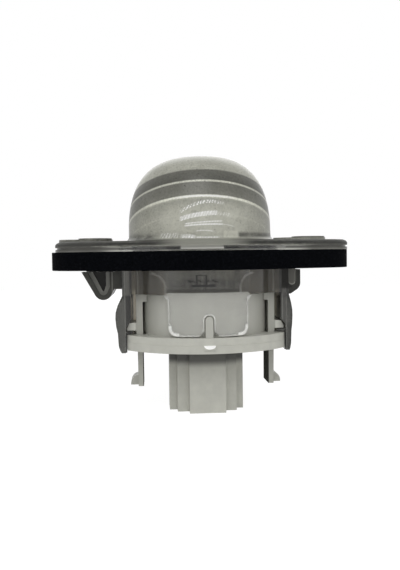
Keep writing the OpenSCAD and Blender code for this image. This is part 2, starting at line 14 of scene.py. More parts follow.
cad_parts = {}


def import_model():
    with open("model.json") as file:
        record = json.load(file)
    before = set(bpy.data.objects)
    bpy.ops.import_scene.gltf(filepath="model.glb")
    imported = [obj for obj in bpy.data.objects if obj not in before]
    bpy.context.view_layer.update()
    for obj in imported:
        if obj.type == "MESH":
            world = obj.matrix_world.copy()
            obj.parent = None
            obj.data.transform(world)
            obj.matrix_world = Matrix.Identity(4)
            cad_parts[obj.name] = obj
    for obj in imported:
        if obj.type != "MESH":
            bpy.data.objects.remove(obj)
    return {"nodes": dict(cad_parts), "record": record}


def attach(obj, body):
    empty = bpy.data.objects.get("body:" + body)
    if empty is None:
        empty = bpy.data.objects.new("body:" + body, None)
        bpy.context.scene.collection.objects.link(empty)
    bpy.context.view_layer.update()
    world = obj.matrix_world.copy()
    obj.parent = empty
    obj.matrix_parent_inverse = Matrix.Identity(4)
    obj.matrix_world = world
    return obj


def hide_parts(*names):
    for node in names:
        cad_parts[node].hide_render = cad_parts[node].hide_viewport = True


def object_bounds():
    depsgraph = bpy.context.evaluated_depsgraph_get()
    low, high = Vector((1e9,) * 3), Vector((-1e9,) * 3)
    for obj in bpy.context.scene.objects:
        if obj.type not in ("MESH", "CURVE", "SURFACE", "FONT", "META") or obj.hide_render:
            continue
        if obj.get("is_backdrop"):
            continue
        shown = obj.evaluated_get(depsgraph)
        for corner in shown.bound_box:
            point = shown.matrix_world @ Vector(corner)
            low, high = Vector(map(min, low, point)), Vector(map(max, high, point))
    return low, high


MM = 0.001
BODY = "root"

# Camera, fitted to the photograph
CAMERA_DISTANCE = 165 * MM
CAMERA_TARGET = Vector((-0.79, 0.0, -4.0)) * MM
CAMERA_YAW = math.radians(3.93)
CAMERA_PITCH = math.radians(-2.5)
CAMERA_ROLL = math.radians(0.71)
FOCAL_PIXELS = 674.6
IMAGE_LONG_SIDE = 570
SENSOR = 36.0
CLIP_START = 1 * MM
CLIP_END = 20

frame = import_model()
NODES = frame["nodes"]
NODE_SLOTS = {part["node"]: part["material_slot"] for part in frame["record"]["subparts"]}
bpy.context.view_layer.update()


# Material helpers

class Shader:
    """A material with one Principled surface, and short calls that add nodes to it.

    A span says where a value counts: (low, high, soft) is 1 from low to high and 0 outside, with
    edges soft wide on each side, and (off, on) goes smoothly from 0 at off to 1 at on.
    """

    def __init__(self, name, **sockets):
        self.material = bpy.data.materials.new(name)
        self.material.use_nodes = True
        self.tree = self.material.node_tree
        self.surface = self.tree.nodes["Principled BSDF"]
        self.place = self.add("ShaderNodeTexCoord").outputs["Object"]
        for socket, value in sockets.items():
            self.surface.inputs[socket.replace("_", " ")].default_value = value

    def add(self, kind, **settings):
        made = self.tree.nodes.new(kind)
        for name, value in settings.items():
            setattr(made, name, value)
        return made

    def feed(self, value, target):
        """Sets a node's socket to a value, or links another node's output to it."""
        if isinstance(value, bpy.types.NodeSocket):
            self.tree.links.new(value, target)
        else:
            target.default_value = value

    def put(self, socket, source):
        self.feed(source, self.surface.inputs[socket])

    def stretched(self, per_mm):
        """The place, with as many units for each millimetre along X, Y and Z as per_mm says."""
        mapping = self.add("ShaderNodeMapping")
        mapping.inputs["Scale"].default_value = [units / MM for units in per_mm]
        self.feed(self.place, mapping.inputs["Vector"])
        return mapping.outputs["Vector"]

    def noise(self, size, detail=3.0, roughness=0.6, place=None, distortion=0.0):
        """Noise from 0 to 1 whose features are about size wide: metres, or units of place."""
        made = self.add("ShaderNodeTexNoise")
        made.inputs["Scale"].default_value = 1 / size
        made.inputs["Detail"].default_value = detail
        made.inputs["Roughness"].default_value = roughness
        made.inputs["Distortion"].default_value = distortion
        self.feed(self.place if place is None else place, made.inputs["Vector"])
        return made.outputs["Fac"]

    def ramp(self, source, stops):
        """Tones along source, a number from 0 to 1. stops are (place, colour or grey)."""
        made = self.add("ShaderNodeValToRGB")
        elements = made.color_ramp.elements
        while len(elements) < len(stops):
            elements.new(0.5)
        for element, (position, tone) in zip(elements, stops):
            element.position = position
            element.color = (*tone, 1) if isinstance(tone, tuple) else (tone, tone, tone, 1)
        self.feed(source, made.inputs["Fac"])
        return made.outputs["Color"]

    def tones(self, source, first, last, low=0.3, high=0.7):
        """Goes from the first tone where source is at low to the last one where it is at high."""
        return self.ramp(source, [(low, first), (high, last)])

    def layers(self, level, stops):
        """Tones by level. stops are (level, tone), from the lowest up."""
        low, high = stops[0][0], stops[-1][0]
        place = self.maths("DIVIDE", self.less(level, low), high - low, clamp=True)
        return self.ramp(place, [((at - low) / (high - low), tone) for at, tone in stops])

    def mix(self, factor, a, b, blend="MIX"):
        """Goes from tone a where factor is 0 to tone b where it is 1."""
        made = self.add("ShaderNodeMix", data_type="RGBA", blend_type=blend)
        # The colours' sockets come after those for numbers and for vectors
        factor_input, a_input, b_input = made.inputs[0], made.inputs[6], made.inputs[7]
        self.feed(factor, factor_input)
        for value, target in ((a, a_input), (b, b_input)):
            self.feed((*value, 1) if isinstance(value, tuple) else value, target)
        return made.outputs[2]

    def stain(self, tone, where, share, colour):
        """Covers a share of tone with a colour where the number where is 1, for dirt and painted shade
        alike.
        """
        return self.mix(self.times(where, share), tone, colour)

    def mottle(self, tone, source, share, *tones):
        """Multiplies a share of tone by the tones that source gives, as the call tones takes them."""
        return self.mix(share, tone, self.tones(source, *tones), "MULTIPLY")

    def maths(self, operation, a, b=0.0, clamp=False):
        made = self.add("ShaderNodeMath", operation=operation, use_clamp=clamp)
        self.feed(a, made.inputs[0])
        self.feed(b, made.inputs[1])
        return made.outputs[0]

    def plus(self, *values):
        return reduce(lambda a, b: self.maths("ADD", a, b), values)

    def times(self, *values):
        return reduce(lambda a, b: self.maths("MULTIPLY", a, b), values)

    def most(self, *values):
        """The largest of the values."""
        return reduce(lambda a, b: self.maths("MAXIMUM", a, b), values)

    def less(self, a, b):
        return self.maths("SUBTRACT", a, b)

    def size(self, value):
        """The value without its sign."""
        return self.maths("ABSOLUTE", value)

    def radius(self, x, y):
        """The length of the two numbers taken as a vector."""
        return self.maths("SQRT", self.plus(self.times(x, x), self.times(y, y)))

    def smooth(self, source, off, on):
        """0 on the off side and 1 on the on side, which may be the lower one."""
        made = self.add("ShaderNodeMapRange", interpolation_type="SMOOTHSTEP")
        self.feed(source, made.inputs["Value"])
        made.inputs["From Min"].default_value = off
        made.inputs["From Max"].default_value = on
        return made.outputs["Result"]

    def within(self, source, span):
        """1 where source lies in a span."""
        if len(span) == 2:
            return self.smooth(source, *span)
        low, high, soft = span
        rise = self.smooth(source, low - soft, low + soft)
        fall = self.smooth(source, high + soft, high - soft)
        return self.times(rise, fall)

    def patch(self, values, spans):
        """1 where each of the values lies in its own span."""
        return self.times(*[self.within(value, span) for value, span in zip(values, spans)])

    def millimetres(self):
        """The place as three numbers in millimetres."""
        scaled = self.add("ShaderNodeVectorMath", operation="SCALE")
        self.feed(self.place, scaled.inputs[0])
        scaled.inputs["Scale"].default_value = 1 / MM
        parts = self.add("ShaderNodeSeparateXYZ")
        self.feed(scaled.outputs[0], parts.inputs[0])
        return parts.outputs[0], parts.outputs[1], parts.outputs[2]

    def bump(self, height, distance):
        made = self.add("ShaderNodeBump")
        made.inputs["Strength"].default_value = 1.0
        made.inputs["Distance"].default_value = distance
        self.feed(height, made.inputs["Height"])
        self.put("Normal", made.outputs["Normal"])


# How much blue old clear plastic keeps
AGED_BLUE = 0.87


def aged(tone):
    """A grey with the yellow-green cast of old clear plastic."""
    return (tone, tone, AGED_BLUE * tone)


# Lens: the dome's outside, as in the solid. Heights on the lens count up from the flange's top,
# which is at TOP_Z
TOP_Z = 6.7
DOME_R = 17.2
DOME_H = 20.1
DOME_POWERS = (2.8, 2.7)
DOME_SHIFT = 0.7
DOME_LEAN = math.radians(1)
# The dome's formula gives 1 on its outer face, and goes through this span below that face
DOME_OUTSIDE = (0.88, 0.94)
# Where the dome's tones start and the flange's roughness ends, and the hollow under the dome,
# whose edge lies HOLLOW_INSET inside the dome's
DOME_HEIGHT = (0.1, 0.3)
FLANGE_HEIGHT = (0.3, 0.0)
DOME_ROUGHNESS = (0.26, 0.42, 0.3, 0.75)
FLANGE_ROUGHNESS = (0.55, 0.55, 0.55)
HOLLOW_INSET = 1.5
HOLLOW_R = DOME_R - HOLLOW_INSET
HOLLOW_TONE = aged(0.8)

# The stepped rings as they show on the outside, painted as bands of light and shade with painted
# highlights along two step edges: planes that rise towards the front, each given by its level on
# the dome's axis, with the tone there
RING_SLOPE = math.tan(math.radians(20.6))
RING_TONES = [
    (-8.0, aged(0.48)),
    (-0.85, aged(0.48)),
    (-0.65, aged(0.56)),
    (-0.45, aged(0.46)),
    (2.7, aged(0.36)),
    (3.1, aged(0.45)),
    (3.3, aged(1.0)),
    (3.7, aged(1.0)),
    (3.85, aged(0.215)),
    (5.2, aged(0.18)),
    (7.1, aged(0.165)),
    (7.25, aged(0.74)),
    (7.6, aged(0.74)),
    (7.75, aged(0.10)),
    (10.6, aged(0.13)),
    (11.0, aged(0.46)),
    (22.0, aged(0.50)),
]
# Fine speckles and larger clouds on the rings, as Shader.mottle takes them
SPECKLES = (0.8, (0.68, 0.68, 0.67), (1.25, 1.25, 1.25), 0.3, 0.7)
CLOUDS = (0.6, (0.8, 0.8, 0.78), (1.1, 1.1, 1.1), 0.35, 0.65)
# The levels of the two painted highlight lines, how the grain breaks them up, and how they fade
# to the sides
RING_LINES = [(3.2, 3.8, 0.1), (7.2, 7.65, 0.1)]
LINE_BREAKS = (0.35, 0.0, 0.35, 0.6)
FADE_SIDE = (5.0, 14.0)
FADE_SHARE = 0.4
DIM_LINE_TONE = aged(0.25)
# Where the lower line's painted highlight is brightest, by level, x and y
BRIGHT = ((3.3, 3.7, 0.12), (-6.5, 5.5, 3.5), (-9.0, -12.0))
BRIGHT_TONE = (0.97, 0.97, 0.94)

# Marks on the front of the dome, each over those before it: where by x, height and y, how much
# of it the streaks leave, as Shader.tones takes it, and its tone. The pale ones are painted light
DomeMark = namedtuple("DomeMark", "where streaks tone")
FOOT_DARK_TONE = (0.045, 0.044, 0.04)
DOME_MARKS = [
    # Painted light low on the front, streaked like haze, where the bright inside shows through
    DomeMark(((-9.5, 8.5, 2.5), (1.0, 7.2, 1.5), (-7.0, -11.0)), (0.15, 0.95, 0.35, 0.7), aged(0.60)),
    # A pale patch of painted light at the foot
    DomeMark(((3.4, 6.7, 0.15), (0.45, 1.9, 0.2), (-10.0, -12.0)), (0.6, 1.0, 0.3, 0.6), aged(0.66)),
    # Dark places at the foot, on the right and on the left
    DomeMark(((6.7, 7.2), (0.5, 1.55, 0.35), (2.0, -2.0)), (0.4, 0.8, 0.25, 0.6), FOOT_DARK_TONE),
    DomeMark(((-9.5, -13.0), (2.2, 0.6), (2.0, -2.0)), (0.28, 0.8, 0.3, 0.6), FOOT_DARK_TONE),
]

# Rows of painted glints low on the dome's front, highlights painted into the colour: from x to x,
# the row's middle with its height there, slope and sag along x, half its thickness, brightness,
# and how broken up it is
Glint = namedtuple("Glint", "start stop middle height slope sag half light broken")
GLINTS = [
    Glint(-6.1, 3.5, 0.5, 8.35, 0.0, -0.052, 0.36, 1.0, 0.9),
    Glint(-6.1, 2.1, 0.1, 5.75, 0.07, -0.02, 0.5, 1.0, 0.5),
    Glint(2.4, 5.0, 2.7, 5.6, 0.0, -0.06, 0.4, 0.6, 0.9),
    Glint(-5.0, 3.1, -1.0, 3.85, 0.065, -0.006, 0.15, 0.9, 0.35),
    Glint(-5.1, 3.2, -1.0, 3.32, 0.035, -0.008, 0.17, 1.0, 0.25),
    Glint(3.2, 5.8, 3.2, 3.3, -0.05, -0.05, 0.1, 0.5, 0.2),
    Glint(-2.6, 1.1, -0.7, 2.0, -0.03, -0.05, 0.13, 0.7, 0.3),
    Glint(-5.9, -2.9, -4.4, 0.75, -0.05, -0.02, 0.42, 1.0, 0.6),
    Glint(-10.4, -6.6, -8.5, 1.0, 0.0, 0.0, 0.55, 0.6, 0.9),
    Glint(-2.8, 2.3, 0.0, 0.48, 0.0, 0.0, 0.15, 0.8, 0.5),
]
GLINT_Y = (-11.0, -12.0)
GLINT_TONE = (1.0, 1.0, 0.99)
# How soft a row's edges and its ends are
ROW_SOFT = 0.1
ROW_END_SOFT = 0.35
# The slanted strokes that break up a row come from a sine wave along x: from one to the next,
# how far one moves along x for each millimetre up, how far noise shifts the wave in radians, and
# between which of its values it lights up
STROKE_PITCH = 0.62
STROKE_SLANT = 0.45
STROKE_BEND = 7.0
STROKE_WAVE = (-0.5, 0.5)
# The same for the fine noise that breaks them up further
SPECKS = (0.38, 0.56)

# The flange's edge on the lens, by height from its lower corner up to its top. The pale line
# at the lower corner is a painted highlight
FLANGE_TONES = [
    (-1.33, aged(0.30)),
    (-1.15, aged(0.24)),
    (-1.04, aged(0.05)),
    (-0.79, aged(0.05)),
    (-0.72, aged(0.015)),
    (-0.57, aged(0.015)),
    (-0.46, aged(0.07)),
    (-0.03, aged(0.07)),
    (0.04, aged(0.17)),
    (0.4, aged(0.19)),
]
# Smears along it: units of noise in a millimetre along X, Y and Z, and their tones
SMEAR_UNITS = (0.35, 1.5, 2.5)
SMEARS = (0.7, 0.45, 1.5, 0.35, 0.65)
# It is lighter in front of the dome, by x and y, and darker at both ends, by side and height
FLANGE_MIDDLE = ((-9.0, 7.0, 4.0), (-14.0, -17.0))
MIDDLE_LIGHTER = (0.7, aged(0.40))
FLANGE_ENDS = ((23.0, 27.0), (-0.15, -0.4))
END_DARKER = (0.75, aged(0.045))


def dome_outside(made, x, y, height):
    """1 on the dome's outer face and 0 on its inner one."""
    right = made.plus(x, DOME_SHIFT)
    cosine, sine = math.cos(DOME_LEAN), math.sin(DOME_LEAN)
    across = made.plus(made.times(right, cosine), made.times(height, sine))
    up = made.less(made.times(height, cosine), made.times(right, sine))
    flat = made.maths("DIVIDE", made.radius(across, y), DOME_R)
    tall = made.maths("DIVIDE", made.most(up, 0.0), DOME_H)
    flat = made.maths("POWER", flat, DOME_POWERS[0])
    tall = made.maths("POWER", tall, DOME_POWERS[1])
    return made.within(made.plus(flat, tall), DOME_OUTSIDE)


def ring_bands(made, x, y, height, grain):
    """The stepped rings' painted light and shade, mottled, with painted highlight lines
    that the grain breaks up.
    """
    level = made.plus(height, made.times(y, RING_SLOPE))
    tone = made.layers(level, RING_TONES)
    tone = made.mottle(tone, grain, *SPECKLES)
    tone = made.mottle(tone, made.noise(5 * MM, roughness=0.55), *CLOUDS)
    lines = made.most(*[made.within(level, line) for line in RING_LINES])
    broken_up = made.tones(grain, *LINE_BREAKS)
    faded = made.times(made.within(made.size(x), FADE_SIDE), FADE_SHARE)
    tone = made.mix(made.times(lines, made.most(broken_up, faded)), tone, DIM_LINE_TONE)
    return made.mix(made.patch((level, x, y), BRIGHT), tone, BRIGHT_TONE)


def glints(made, x, y, height):
    """Broken rows of painted highlights, bright specks where the flutes low in the front wall catch
    the light.
    """
    slanted = made.less(x, made.times(height, STROKE_SLANT))
    bend = made.times(made.noise(1.3 * MM, detail=2), STROKE_BEND)
    wave = made.maths("SINE", made.plus(made.times(slanted, 2 * math.pi / STROKE_PITCH), bend))
    fine = made.noise(0.35 * MM, detail=2, roughness=0.7)
    pieces = made.patch((wave, fine), (STROKE_WAVE, SPECKS))
    rows = []
    for row in GLINTS:
        along = made.less(x, row.middle)
        sag = made.times(along, along, row.sag)
        centre = made.plus(made.times(along, row.slope), row.height, sag)
        width = (-row.half, row.half, ROW_SOFT)
        length = (row.start, row.stop, ROW_END_SOFT)
        shape = made.patch((made.less(height, centre), x), (width, length))
        left = made.plus(made.times(pieces, row.broken), 1 - row.broken)
        rows.append(made.times(shape, left, row.light))
    return made.times(made.most(*rows), made.within(y, GLINT_Y))


def flange_edge(made, x, y, height):
    """The tones of the flange's layer on the lens, smeared with dirt, with a painted highlight
    along its lower corner.
    """
    tone = made.layers(height, FLANGE_TONES)
    smears = made.noise(1.0, place=made.stretched(SMEAR_UNITS))
    tone = made.mottle(tone, smears, *SMEARS)
    tone = made.stain(tone, made.patch((x, y), FLANGE_MIDDLE), *MIDDLE_LIGHTER)
    return made.stain(tone, made.patch((made.size(x), height), FLANGE_ENDS), *END_DARKER)


def clear_lens():
    """Clear plastic, hazed with age, whose inner rings and flutes show on the dome as painted
    bands of light and shade and painted glints, with painted light low on its front.
    """
    made = Shader("clear_lens", Transmission_Weight=0.28, IOR=1.5, Specular_IOR_Level=0.15)
    x, y, z = made.millimetres()
    height = made.less(z, TOP_Z)
    grain = made.noise(0.45 * MM, detail=4, roughness=0.7)
    streaks = made.noise(2.4 * MM, detail=4, distortion=1.2)
    bands = ring_bands(made, x, y, height, grain)
    for stain in DOME_MARKS:
        share = made.times(made.patch((x, height, y), stain.where), made.tones(streaks, *stain.streaks))
        bands = made.mix(share, bands, stain.tone)
    bands = made.mix(glints(made, x, y, height), bands, GLINT_TONE)
    dome = made.times(dome_outside(made, x, y, height), made.within(height, DOME_HEIGHT))
    hollow = made.maths("LESS_THAN", made.radius(x, y), HOLLOW_R)
    rest = made.mix(hollow, flange_edge(made, x, y, height), HOLLOW_TONE)
    made.put("Base Color", made.mix(dome, rest, bands))
    rough = made.tones(grain, *DOME_ROUGHNESS)
    made.put("Roughness", made.mix(made.within(height, FLANGE_HEIGHT), rough, FLANGE_ROUGHNESS))
    made.bump(made.noise(0.9 * MM), 0.02 * MM)
    return made.material


# Clip housing. A side is a distance from the middle along x, and a depth one along y
CLEAN_TONES = ((0.86, 0.86, 0.83), (0.93, 0.93, 0.90))
HOUSING_ROUGHNESS = (0.08, 0.24, 0.3, 0.75)
FRONT_Y = (-11.5, -12.5)
# How much light the plastic lets through and how much it shines, and what dirt takes of both
LET_THROUGH = 0.85
DIRT_STOPS = 0.7
SHINE = 0.3
DIRT_DULLS = 0.25
# The skirt: grimy in upright streaks, in units of noise as above, with a band of painted shadow
# along its foot. The foot lies lower beside the middle, and a level is a height with this drop
# evened out
SKIRT_TONES = ((0.17, 0.165, 0.14), (0.42, 0.41, 0.37))
SKIRT_UNITS = (1.1, 0.6, 0.12)
DROP_SIDE = (8.8, 9.8)
FOOT_DROP = 0.75
FOOT_LEVEL = (-5.2, -4.3, 0.25)
FOOT_SHADOW_TONE = (0.15, 0.145, 0.12)
BELOW_FOOT = (-4.95, -5.15)
# The holder's left and right tower, seen through the skirt, and the edge of the tub beside them
TOWERS_X = [(-9.3, -9.7), (7.1, 7.5)]
TOWER_STAIN = (0.75, (0.20, 0.175, 0.125))
TUB_SIDE = (15.6, 15.9, 0.1)
TUB_SHARE = 0.6
# The towers' round shoulders: centre x and the side that each turns to, and their pale rim
SHOULDERS = [(-12.6, 1), (10.3, -1)]
SHOULDER_Z = -3.9
SHOULDER_R = 3.15
SHOULDER_RIM = ((SHOULDER_R - 0.3, SHOULDER_R + 0.2, 0.2), (-0.3, 0.6))
LINE_STAIN = (0.8, (0.72, 0.71, 0.66))
# A small tab on the tub's front, seen through the skirt, and its sill, by x and z. The dirt
# round them is by x, z and noise
TAB_Z = (-3.5, -1.1, 0.1)
TAB_SIDES = [((-2.8, -2.45, 0.06), TAB_Z), ((-0.7, -0.35, 0.06), TAB_Z)]
TAB_TOP = ((-2.8, -0.35, 0.06), (-1.3, -1.05, 0.06))
TAB_TOP_SHARE = 0.8
SILL = ((-3.8, 1.6, 0.4), (-3.7, -3.2, 0.08))
DIRT = ((-4.7, 2.2, 0.3), (-2.75, -2.1, 0.2), (0.42, 0.6))
MARK_STAIN = (0.95, (0.012, 0.011, 0.009))
# The tongue and its slot. Their moulded edge carries a painted highlight, from TONGUE_Z down
TONGUE_HALF = 8.95
TONGUE_FOOT = -14.7
TONGUE_CORNER = 1.8
TONGUE_Z = (-5.4, -6.4)
SLOT_HALF = 1.1
SLOT_Z = -11.1
EDGE_HIGHLIGHT_TONE = (0.96, 0.96, 0.92)
# How far the painted highlight on the edge reaches in from the tongue's outline and out from
# the slot's, and how pale it is. It is wider and brighter at the lower corners, given by how far
# a point lies past their centres, sideways and down, and past the outline
EDGE_IN = (-0.35, -0.15)
EDGE_OUT = (0.4, 0.2)
EDGE_SHARE = (0.15, 0.5, 0.35, 0.65)
CORNER = ((-0.9, -0.3), (-0.9, -0.3), (-0.9, -0.5))
CORNER_SHARE = (0.45, 1.0, 0.35, 0.6)
# Wings: all that lies outside the cheeks' inner faces, with painted light on the left one
WING_SIDE = (17.1, 17.3)
LEFT_X = (0.0, -1.0)
LEFT_TONES = ((0.055, 0.055, 0.049), (0.09, 0.09, 0.08))
RIGHT_TONES = ((0.035, 0.036, 0.030), (0.06, 0.06, 0.052))
# The pads on the wings' inner sides, up to PAD_SIDE, the line round them, and the outline that
# shows on the right one, by x and z
PAD_SIDE = 18.75
ON_PAD = (PAD_SIDE + 0.1, PAD_SIDE - 0.1)
PAD_TONES = ((0.055, 0.053, 0.047), (0.085, 0.082, 0.074))
PAD_LINE = (PAD_SIDE - 0.08, PAD_SIDE + 0.08, 0.08)
PAD_LINE_STAIN = (0.7, (0.30, 0.30, 0.28))
PAD_OUTLINE = ((17.75, 17.95, 0.08), (-12.0, -5.8, 0.2))
PAD_OUTLINE_STAIN = (0.6, (0.5, 0.5, 0.47))
# Lugs: outside the cheeks and above the wings, by side and z, and on the right also the wall
# beside the lug, by x and z
OUTSIDE_CHEEKS = ((19.3, 19.5), (-7.6, -7.2))
BESIDE_LUG = ((17.5, 17.7), (-5.0, -4.4))
# The V lug's rim, its step and its web, which start at these depths, and the line on its neck
RIM_TONES = ((0.045, 0.045, 0.039), (0.075, 0.075, 0.066))
STEP_DEPTH = (7.6, 7.5)
STEP_TONE = (0.26, 0.26, 0.235)
WEB_DEPTH = (6.75, 6.65)
WEB_TONE = (0.018, 0.018, 0.015)
NECK = ((-21.75, -21.5, 0.08), (-5.4, -4.8))
NECK_STAIN = (0.8, STEP_TONE)
# The round lug on the right, its step with a round foot, the step's outline, and its neck
ROUND_LUG_X = (17.0, 17.4)
ROUND_TONE = (0.05, 0.05, 0.044)
ROUND_STEP_X = 20.3
ROUND_STEP_Z = -2.9
ROUND_STEP_R = 0.85
ROUND_STEP = (ROUND_STEP_R, ROUND_STEP_R - 0.1)
ROUND_STEP_TONE = (0.17, 0.167, 0.148)
ROUND_OUTLINE = (ROUND_STEP_R - 0.15, ROUND_STEP_R + 0.1, 0.1)
ROUND_OUTLINE_TONE = (0.36, 0.36, 0.32)
ROUND_NECK_X = (19.5, 19.2)
ROUND_NECK_TONE = (0.02, 0.02, 0.017)
# The flange's layer on the housing, from its lower edge up, with grimy ends
SEAT_Z = (2.0, 3.5)
SEAT_TONES = [
    (4.32, (0.6, 0.6, 0.55)),
    (4.56, (0.5, 0.5, 0.45)),
    (4.70, (0.16, 0.16, 0.145)),
    (5.06, (0.16, 0.16, 0.145)),
    (5.16, (0.5, 0.5, 0.45)),
    (5.4, (0.6, 0.6, 0.55)),
]
SEAT_ENDS = (20.0, 25.0)
SEAT_END_STAIN = (0.8, (0.085, 0.083, 0.072))
# How hazy the lugs and those ends are
GRIME_HAZE = 0.85
# The groove above the lower edge, its dark slots along x, and its pale pane, by x and z
GROOVE_Z = (4.7, 5.12, 0.04)
SLOTS_X = [(-19.6, -15.6, 0.4), (-9.5, -6.4, 0.4), (3.5, 6.4, 0.4), (8.5, 14.0, 0.4)]
SLOT_TONE = (0.008, 0.008, 0.007)
PANE = ((-6.2, 3.1, 0.2), (4.6, 4.7))
PANE_TONE = (0.52, 0.52, 0.48)
PANE_HAZE = 0.9


def tab_marks(made, x, z):
    """How dark the small tab's outline, its sill and the dirt round them are."""
    sides = [made.patch((x, z), side) for side in TAB_SIDES]
    top = made.times(made.patch((x, z), TAB_TOP), TAB_TOP_SHARE)
    dirt = made.patch((x, z, made.noise(0.7 * MM, detail=2)), DIRT)
    return made.most(*sides, top, made.patch((x, z), SILL), dirt)


def skirt(made, x, z, side, level):
    """The skirt's grimy tone, with painted shadow along its foot and what shows through it."""
    streaks = made.noise(1.0, place=made.stretched(SKIRT_UNITS))
    tone = made.tones(streaks, *SKIRT_TONES)
    tone = made.mix(made.within(level, FOOT_LEVEL), tone, FOOT_SHADOW_TONE)
    towers = made.most(*[made.within(x, tower) for tower in TOWERS_X])
    tone = made.stain(tone, towers, *TOWER_STAIN)
    lines = made.times(made.within(side, TUB_SIDE), TUB_SHARE)
    for centre, turn in SHOULDERS:
        past = made.times(made.less(x, centre), turn)
        above = made.most(made.less(z, SHOULDER_Z), 0.0)
        lines = made.most(lines, made.patch((made.radius(past, above), past), SHOULDER_RIM))
    tone = made.stain(tone, lines, *LINE_STAIN)
    return made.stain(tone, tab_marks(made, x, z), *MARK_STAIN)


def tongue_highlight(made, x, z, side, haze):
    """How strong the painted highlight on the moulded edge of the tongue and its slot is."""
    past_side = made.less(side, TONGUE_HALF - TONGUE_CORNER)
    past_foot = made.less(TONGUE_FOOT + TONGUE_CORNER, z)
    rounded = made.radius(made.most(past_side, 0.0), made.most(past_foot, 0.0))
    inside = made.maths("MINIMUM", made.most(past_side, past_foot), 0.0)
    outline = made.plus(made.less(rounded, TONGUE_CORNER), inside)
    slot = made.less(made.radius(x, made.most(made.less(z, SLOT_Z), 0.0)), SLOT_HALF)
    highlight = made.most(made.within(outline, EDGE_IN), made.within(slot, EDGE_OUT))
    highlight = made.times(highlight, made.tones(haze, *EDGE_SHARE))
    corner = made.patch((past_side, past_foot, outline), CORNER)
    corner = made.times(corner, made.tones(haze, *CORNER_SHARE))
    return made.times(made.most(highlight, corner), made.within(z, TONGUE_Z))


def wings(made, x, z, side, haze):
    """The wings' tone: dark outside, lighter on the inner pads, and painted light on the left one."""
    right, left = made.tones(haze, *RIGHT_TONES), made.tones(haze, *LEFT_TONES)
    tone = made.mix(made.within(x, LEFT_X), right, left)
    tone = made.mix(made.within(side, ON_PAD), tone, made.tones(haze, *PAD_TONES))
    tone = made.stain(tone, made.within(side, PAD_LINE), *PAD_LINE_STAIN)
    return made.stain(tone, made.patch((x, z), PAD_OUTLINE), *PAD_OUTLINE_STAIN)


def round_lug(made, x, z):
    """The round lug's tone: dark, with a lighter step that has a pale outline."""
    below = made.maths("MINIMUM", made.less(z, ROUND_STEP_Z), 0.0)
    reach = made.radius(made.less(x, ROUND_STEP_X), below)
    tone = made.mix(made.within(reach, ROUND_STEP), ROUND_TONE, ROUND_STEP_TONE)
    tone = made.mix(made.within(reach, ROUND_OUTLINE), tone, ROUND_OUTLINE_TONE)
    return made.mix(made.within(x, ROUND_NECK_X), tone, ROUND_NECK_TONE)


def lugs(made, x, y, z, haze):
    """The tone of both lugs."""
    depth = made.size(y)
    tone = made.tones(haze, *RIM_TONES)
    tone = made.mix(made.within(depth, STEP_DEPTH), tone, STEP_TONE)
    tone = made.mix(made.within(depth, WEB_DEPTH), tone, WEB_TONE)
    tone = made.stain(tone, made.patch((x, z), NECK), *NECK_STAIN)
    return made.mix(made.within(x, ROUND_LUG_X), tone, round_lug(made, x, z))


def seat_plate(made, x, z, ends, pane):
    """The tone of the flange's layer on the housing."""
    tone = made.stain(made.layers(z, SEAT_TONES), ends, *SEAT_END_STAIN)
    slots = made.most(*[made.within(x, slot) for slot in SLOTS_X])
    tone = made.mix(made.times(made.within(z, GROOVE_Z), slots), tone, SLOT_TONE)
    return made.mix(pane, tone, PANE_TONE)


def clear_housing():
    """Clear plastic, clean on the tongue and darker with grime on the skirt, wings and lugs, with
    painted highlights on the tongue's edge, painted shadow along the skirt's foot and painted
    light on the left wing.
    """
    made = Shader("clear_housing", IOR=1.5)
    x, y, z = made.millimetres()
    side = made.size(x)
    haze = made.noise(3 * MM, detail=4)
    front = made.within(y, FRONT_Y)
    level = made.plus(z, made.times(made.within(side, DROP_SIDE), FOOT_DROP))
    tongue = made.times(front, made.within(level, BELOW_FOOT))
    tone = made.mix(tongue, skirt(made, x, z, side, level), made.tones(haze, *CLEAN_TONES))
    highlight = made.times(tongue_highlight(made, x, z, side, haze), front)
    tone = made.mix(highlight, tone, EDGE_HIGHLIGHT_TONE)
    tone = made.mix(made.within(side, WING_SIDE), tone, wings(made, x, z, side, haze))
    on_lugs = made.most(made.patch((side, z), OUTSIDE_CHEEKS), made.patch((x, z), BESIDE_LUG))
    tone = made.mix(on_lugs, tone, lugs(made, x, y, z, haze))
    seat, ends = made.within(z, SEAT_Z), made.within(side, SEAT_ENDS)
    pane = made.patch((x, z), PANE)
    tone = made.mix(seat, tone, seat_plate(made, x, z, ends, pane))
    made.put("Base Color", tone)
    hazy = made.times(made.most(made.times(ends, seat), on_lugs), GRIME_HAZE)
    hazy = made.most(highlight, hazy, made.times(pane, PANE_HAZE))
    made.put("Transmission Weight", made.less(LET_THROUGH, made.times(hazy, DIRT_STOPS)))
    made.put("Specular IOR Level", made.less(SHINE, made.times(on_lugs, DIRT_DULLS)))
    made.put("Roughness", made.tones(haze, *HOUSING_ROUGHNESS))
    return made.material


# Foam: black, with paler cell walls here and there, by noise
FOAM_TONES = [
    (0.4, (0.0006, 0.0008, 0.0012)),
    (0.6, (0.0026, 0.003, 0.0042)),
    (0.75, (0.012, 0.013, 0.016)),
]


def foam():
    """Matt closed-cell foam."""
    made = Shader("foam", Roughness=0.95, Specular_IOR_Level=0.03)
    grain = made.noise(0.4 * MM, detail=4, roughness=0.75)
    made.put("Base Color", made.ramp(grain, FOAM_TONES))
    made.bump(grain, 0.15 * MM)
    return made.material


# Bulb holder: a little darker above the cross plate than below it
HOLDER_TONES = ((0.44, 0.44, 0.395), (0.50, 0.50, 0.445))
HOLDER_SHINE = 0.5
ABOVE_PLATE = (-15.2, -14.9)
ABOVE_STAIN = (0.75, (0.395, 0.395, 0.355))
